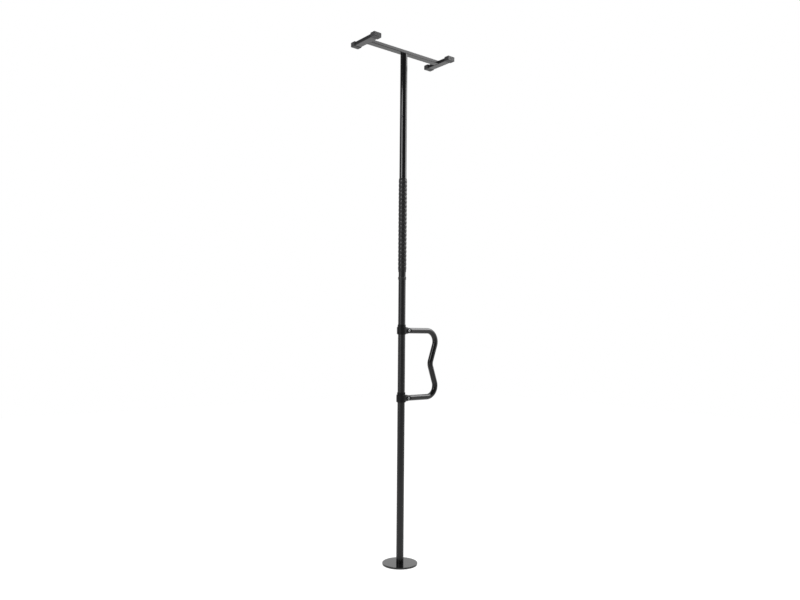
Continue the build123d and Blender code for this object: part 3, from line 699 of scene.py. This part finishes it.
def bent_tube(radius, wall, turns=96):
    stations = bent_path()
    verts, faces = [], []
    for layer, r0 in ((0, radius), (1, radius - wall)):
        for p, tan, share in stations:
            nrm = Vector((-tan.y, tan.x))
            flat = 1 - 0.018 * share
            wide = 1 + 0.006 * share
            for j in range(turns):
                t = 2 * math.pi * j / turns
                u, v = r0 * math.cos(t) * flat, r0 * math.sin(t) * (wide if layer == 0 else 1.0)
                verts.append((p.x + nrm.x * u, v, p.y + nrm.y * u))
    m, off = len(stations), len(stations) * turns
    for i in range(m - 1):
        for j in range(turns):
            q = (i * turns + j, i * turns + (j + 1) % turns, (i + 1) * turns + (j + 1) % turns, (i + 1) * turns + j)
            faces.append(q)
            faces.append(tuple(k + off for k in reversed(q)))
    for i in (0, m - 1):
        for j in range(turns):
            q = (i * turns + j, i * turns + (j + 1) % turns, off + i * turns + (j + 1) % turns, off + i * turns + j)
            faces.append(q)
    return verts, faces


verts, faces = bent_tube(GRAB_R, GRAB_WALL)
piece("grab_bar_bent_tube", verts, faces, GLOSS, "grab_bar", ["grab_bar_tube"], 50.0)


# ======================================================================
# Clamp hubs: cast shapes with soft fillets, from a distance field
# ======================================================================


def soft_min(a, b, k):
    h = np.maximum(k - np.abs(a - b), 0.0) / k
    return np.minimum(a, b) - h * h * k * 0.25


def soft_max(a, b, k):
    return -soft_min(-a, -b, k)


def hub_field(x, y, z):
    """Signed distance, in millimetres, to a hub centred on its bore. The tube end leaves along +X."""
    rc = np.sqrt(x * x + y * y)
    rr = 1.6
    qx, qz = rc - (HUB_R - rr), np.abs(z) - (HUB_H / 2 - rr)
    ring = np.sqrt(np.maximum(qx, 0) ** 2 + np.maximum(qz, 0) ** 2) + np.minimum(np.maximum(qx, qz), 0) - rr
    # tongue seen from the front, curved about the tube
    nose = EAR_X - 22.0
    ex = np.maximum(x - nose, 0) / 22.0
    tongue = (np.sqrt(ex * ex + (z / EAR_HALF_H) ** 2) - 1) * EAR_HALF_H
    rt = np.sqrt(y * y + z * z)
    ear = soft_max(tongue, rt - EAR_R, 2.6)
    ear = np.maximum(ear, -x)
    # bosses under the screw head and the nut
    rb = np.sqrt((x - BOLT_X) ** 2 + z * z)
    bq, by = rb - (9.0 - 0.5), np.abs(y) - (EAR_R + 0.6 - 0.5)
    boss = np.sqrt(np.maximum(bq, 0) ** 2 + np.maximum(by, 0) ** 2) + np.minimum(np.maximum(bq, by), 0) - 0.5
    # rolled socket round the tube's root, its mouth rounded
    sx, sr = np.abs(x - 14.0) - (25.0 - 1.1), rt - (SOCKET_R - 1.1)
    socket = np.sqrt(np.maximum(sx, 0) ** 2 + np.maximum(sr, 0) ** 2) + np.minimum(np.maximum(sx, sr), 0) - 1.1
    socket = np.maximum(socket, -x)
    body = soft_min(ring, ear, 3.2)
    body = soft_min(body, socket, 2.4)
    body = np.maximum(body, np.abs(z) - HUB_H / 2)
    body = soft_min(body, boss, 1.2)
    channel = np.maximum(rt - (GRAB_R + 0.03), (GRAB_X0 - 0.4) - x)
    body = soft_max(body, -channel, 1.3)
    body = soft_max(body, HUB_BORE_R - rc, 1.2)
    slit = np.maximum(np.abs(y) - HUB_SLIT / 2, np.maximum((HUB_R - 7.0) - x, x - (HUB_R + 7.0)))
    body = soft_max(body, -slit, 1.2)
    body = soft_max(body, 4.05 - rb, 0.6)
    return body


def surface(field, lo, hi, step):
    """Quads on the zero level of field, one point per crossed cell, then moved onto the surface."""
    axes = [np.arange(a - step, b + 2 * step, step) for a, b in zip(lo, hi)]
    gx, gy, gz = np.meshgrid(*axes, indexing="ij")
    f = field(gx, gy, gz)
    inside = f < 0
    corners = [(i, j, k) for i in (0, 1) for j in (0, 1) for k in (0, 1)]
    nx, ny, nz = (n - 1 for n in f.shape)

    def at(arr, c):
        return arr[c[0] : c[0] + nx, c[1] : c[1] + ny, c[2] : c[2] + nz]

    count = sum(at(inside, c).astype(np.int8) for c in corners)
    live = (count > 0) & (count < 8)
    total, hits = np.zeros((*live.shape, 3)), np.zeros(live.shape)
    for a in corners:
        for d in range(3):
            if a[d]:
                continue
            b = list(a)
            b[d] = 1
            fa, fb = at(f, a), at(f, b)
            cross = ((fa < 0) != (fb < 0)) & live
            t = np.where(cross, fa / np.where(cross, fa - fb, 1), 0)
            for e in range(3):
                total[..., e] += np.where(cross, a[e] + (t if e == d else 0), 0)
            hits += cross
    idx = -np.ones(live.shape, int)
    idx[live] = np.arange(live.sum())
    cells = np.argwhere(live)
    pts = (cells + total[live] / hits[live][:, None]) * step + np.array([a[0] for a in axes])
    faces = []
    for d in range(3):
        u, v = [e for e in range(3) if e != d]
        sl = [slice(1, n) for n in (nx, ny, nz)]
        sl[d] = slice(0, (nx, ny, nz)[d])
        nxt = list(sl)
        nxt[d] = slice(1, (nx, ny, nz)[d] + 1)
        a, b = inside[tuple(sl)], inside[tuple(nxt)]
        where = np.argwhere(a != b)
        base = np.array([s.start for s in sl])
        where_full = where + base
        flip = b[tuple(where.T)]
        quad = []
        for du, dv in ((0, 0), (1, 0), (1, 1), (0, 1)):
            c = where_full.copy()
            c[:, u] -= 1 - du
            c[:, v] -= 1 - dv
            quad.append(idx[tuple(c.T)])
        q = np.stack(quad, 1)
        q[flip] = q[flip][:, ::-1]
        if d == 1:
            q = q[:, ::-1]
        faces.append(q)
    faces = np.concatenate(faces)
    for _ in range(3):
        h = 0.02
        x, y, z = pts.T
        v0 = field(x, y, z)
        g = np.stack(
            [
                (field(x + h, y, z) - field(x - h, y, z)) / (2 * h),
                (field(x, y + h, z) - field(x, y - h, z)) / (2 * h),
                (field(x, y, z + h) - field(x, y, z - h)) / (2 * h),
            ],
            1,
        )
        g2 = np.maximum((g * g).sum(1), 0.2)
        pts = pts - np.clip(v0 / g2, -0.4 * step, 0.4 * step)[:, None] * g
    return pts, faces


# split liners between the hubs and the tube: a neck above, a lip below
for name, zc in (("upper_liner", Z_ARM_TOP), ("lower_liner", Z_ARM_LOW)):
    zb, zt = zc - HUB_H / 2, zc + HUB_H / 2
    outline = rounded(
        [
            (LINER_BORE_R, zb - LIP_H),
            (LIP_R, zb - LIP_H),
            (LIP_R, zb - 0.1),
            (LINER_R, zb - 0.1),
            (LINER_R, zt + 0.1),
            (NECK_R, zt + 0.1),
            (NECK_R, zt + NECK_H),
            (LINER_BORE_R, zt + NECK_H),
        ],
        [0.4, 0.7, 0.2, 0, 0, 0.2, 1.5, 0.5],
        6,
    )
    verts, faces = split_lathe(outline, LINER_SLIT)
    piece(name + "_moulding", verts, faces, PLASTIC, "bar_liners", [name])

hub_pts, hub_faces = surface(hub_field, (-HUB_R, -HUB_R, -HUB_H / 2), (EAR_X, HUB_R, HUB_H / 2), 0.8)
for name, zc in (("upper_hub", Z_ARM_TOP), ("lower_hub", Z_ARM_LOW)):
    piece(name + "_casting", (hub_pts + np.array([0, 0, zc])).tolist(), hub_faces.tolist(), PLASTIC, "grab_bar", [name], 60.0, outward=True)


# ======================================================================
# Floor, light and camera
# ======================================================================

# camera, solved from the photograph: its right vector, up vector and aim are
# worked out beside the pole and turned into the object's frame
THETA = math.radians(39.125)  # how far the cross bar turns away from the picture plane
PITCH, YAW, ROLL = math.radians(2.602), math.radians(-0.1515), math.radians(0.4772)
DIST, EYE = 3.82364, 1.18559


def to_object(v):
    x, y, z = v
    return Vector((x * math.cos(THETA) + y * math.sin(THETA), -x * math.sin(THETA) + y * math.cos(THETA), z))


fwd = Vector((math.sin(YAW) * math.cos(PITCH), math.cos(YAW) * math.cos(PITCH), math.sin(PITCH)))
right = Vector((math.cos(YAW), -math.sin(YAW), 0))
up = right.cross(fwd)
r = right * math.cos(ROLL) + up * math.sin(ROLL)
u = up * math.cos(ROLL) - right * math.sin(ROLL)
cam_data = bpy.data.cameras.new("photo_camera")
cam_data.sensor_width = 36.0
cam_data.lens = 36.0 * 732.2888 / 800
cam_data.clip_start, cam_data.clip_end = 0.1, 100.0
cam = bpy.data.objects.new("photo_camera", cam_data)
scene.collection.objects.link(cam)
axes = [to_object(r), to_object(u), to_object(-fwd)]
cam.matrix_world = Matrix.Translation(to_object((0, -DIST, EYE))) @ Matrix([[axes[c][i] for c in range(3)] for i in range(3)]).to_4x4()
scene.camera = cam

# pale floor: white and a little self-lit, as an overexposed studio floor
floor_mesh = bpy.data.meshes.new("studio_floor")
side, cells = 16.0, 8
grid = [(-side / 2 + side * i / cells, -side / 2 + side * j / cells, 0.0) for j in range(cells + 1) for i in range(cells + 1)]
quads = [(j * (cells + 1) + i, j * (cells + 1) + i + 1, (j + 1) * (cells + 1) + i + 1, (j + 1) * (cells + 1) + i) for j in range(cells) for i in range(cells)]
floor_mesh.from_pydata(grid, [], quads)
floor = bpy.data.objects.new("studio_floor", floor_mesh)
scene.collection.objects.link(floor)
paint = Mat("pale_floor", specular=0.0)
paint.base(paint.colour(paint.noise(1.5, 2.0), (0.20, 0.20, 0.20), (0.22, 0.22, 0.22)))
paint.bsdf.inputs["Roughness"].default_value = 0.9
paint.bsdf.inputs["Emission Color"].default_value = (1, 1, 1, 1)
seen = paint.put("ShaderNodeLightPath")  # the bare floor burns out to white, its reflection doesn't
toward = paint.put("ShaderNodeVectorMath", operation="DOT_PRODUCT")
paint.links.new(paint.coords, toward.inputs[0])
lens_side = to_object((0, -1, 0))
toward.inputs[1].default_value = (lens_side.x, lens_side.y, 0)
fade = paint.fit(toward.outputs["Value"], 1.0, 3.6, 0.84, 0.48, True)
straight = seen.outputs["Is Camera Ray"]
bounced = paint.math("MULTIPLY", paint.math("SUBTRACT", 1.0, straight), fade)
paint.links.new(paint.math("ADD", paint.math("MULTIPLY", straight, 0.93), bounced), paint.bsdf.inputs["Emission Strength"])
floor_mesh.materials.append(paint.mat)


def softbox(name, azimuth, distance, z0, z1, width, radiance, aim_z=1.5):
    """A vertical panel of even light. azimuth is from the camera's side of the pole, positive to its right."""
    a = math.radians(azimuth)
    spot = to_object((distance * math.sin(a), -distance * math.cos(a), (z0 + z1) / 2))
    light = bpy.data.lights.new(name, "AREA")
    light.shape = "RECTANGLE"
    light.size, light.size_y = width, z1 - z0
    light.energy = radiance * math.pi * light.size * light.size_y
    ob = bpy.data.objects.new(name, light)
    scene.collection.objects.link(ob)
    flat = Vector((spot.x, spot.y, 0)).normalized()
    side_axis = Vector((-flat.y, flat.x, 0))
    ob.matrix_world = Matrix.Translation(spot) @ Matrix([[side_axis[i], (0, 0, 1)[i], flat[i]] for i in range(3)]).to_4x4()
    ob.visible_camera = False
    return ob


softbox("key_high", -45, 2.6, 2.15, 3.35, 1.50, 6.5)
softbox("key_low", -45, 2.6, 0.60, 2.15, 1.50, 1.6)
softbox("side_top", 94, 2.6, 3.40, 4.70, 2.20, 3.2)
softbox("side_high", 97, 2.6, 2.35, 3.40, 2.00, 5.6)
softbox("side_low", 97, 2.6, 0.95, 2.35, 2.00, 1.3)

# overhead panel, to the right and behind: the bright line along the top of the grab bar's arms
over = bpy.data.lights.new("overhead", "AREA")
over.shape = "RECTANGLE"
over.size, over.size_y = 2.8, 2.6
over.energy = 4.6 * math.pi * over.size * over.size_y
over_ob = bpy.data.objects.new("overhead", over)
scene.collection.objects.link(over_ob)
spot = to_object((2.4, 1.4, 4.2))
over_ob.matrix_world = Matrix.Translation(spot) @ Matrix.Rotation(-THETA, 4, "Z")
over_ob.visible_camera = False

# surroundings: white backdrop behind the pole, dim room on the camera's side
world = bpy.data.worlds.new("studio")
scene.world = world
world.use_nodes = True
wt = world.node_tree
wt.nodes.clear()
w_out = wt.nodes.new("ShaderNodeOutputWorld")
w_bg = wt.nodes.new("ShaderNodeBackground")
w_co = wt.nodes.new("ShaderNodeTexCoord")
w_dot = wt.nodes.new("ShaderNodeVectorMath")
w_dot.operation = "DOT_PRODUCT"
back = to_object((0, 1, 0))
w_dot.inputs[1].default_value = (back.x, back.y, 0.25)
w_ramp = wt.nodes.new("ShaderNodeMapRange")
w_ramp.interpolation_type = "SMOOTHSTEP"
w_ramp.inputs["From Min"].default_value = 0.25
w_ramp.inputs["From Max"].default_value = 0.65
w_ramp.inputs["To Max"].default_value = 1.0
w_path = wt.nodes.new("ShaderNodeLightPath")
w_mix = wt.nodes.new("ShaderNodeMath")
w_mix.operation = "MAXIMUM"
w_xyz = wt.nodes.new("ShaderNodeSeparateXYZ")
w_low = wt.nodes.new("ShaderNodeMapRange")  # the dim side is lighter near the floor than above eye level
w_low.interpolation_type = "SMOOTHSTEP"
w_low.inputs["From Min"].default_value = 0.0
w_low.inputs["From Max"].default_value = 0.20
w_low.inputs["To Min"].default_value = 0.52
w_low.inputs["To Max"].default_value = 0.16
wt.links.new(w_co.outputs["Generated"], w_xyz.inputs[0])
wt.links.new(w_xyz.outputs["Z"], w_low.inputs["Value"])
wt.links.new(w_low.outputs["Result"], w_ramp.inputs["To Min"])
wt.links.new(w_co.outputs["Generated"], w_dot.inputs[0])
wt.links.new(w_dot.outputs["Value"], w_ramp.inputs["Value"])
wt.links.new(w_ramp.outputs["Result"], w_mix.inputs[0])
wt.links.new(w_path.outputs["Is Camera Ray"], w_mix.inputs[1])
wt.links.new(w_mix.outputs[0], w_bg.inputs["Strength"])
w_bg.inputs["Color"].default_value = (1, 1, 1, 1)
wt.links.new(w_bg.outputs[0], w_out.inputs[0])

# ----------------------------------------------------------------------

bpy.context.view_layer.update()
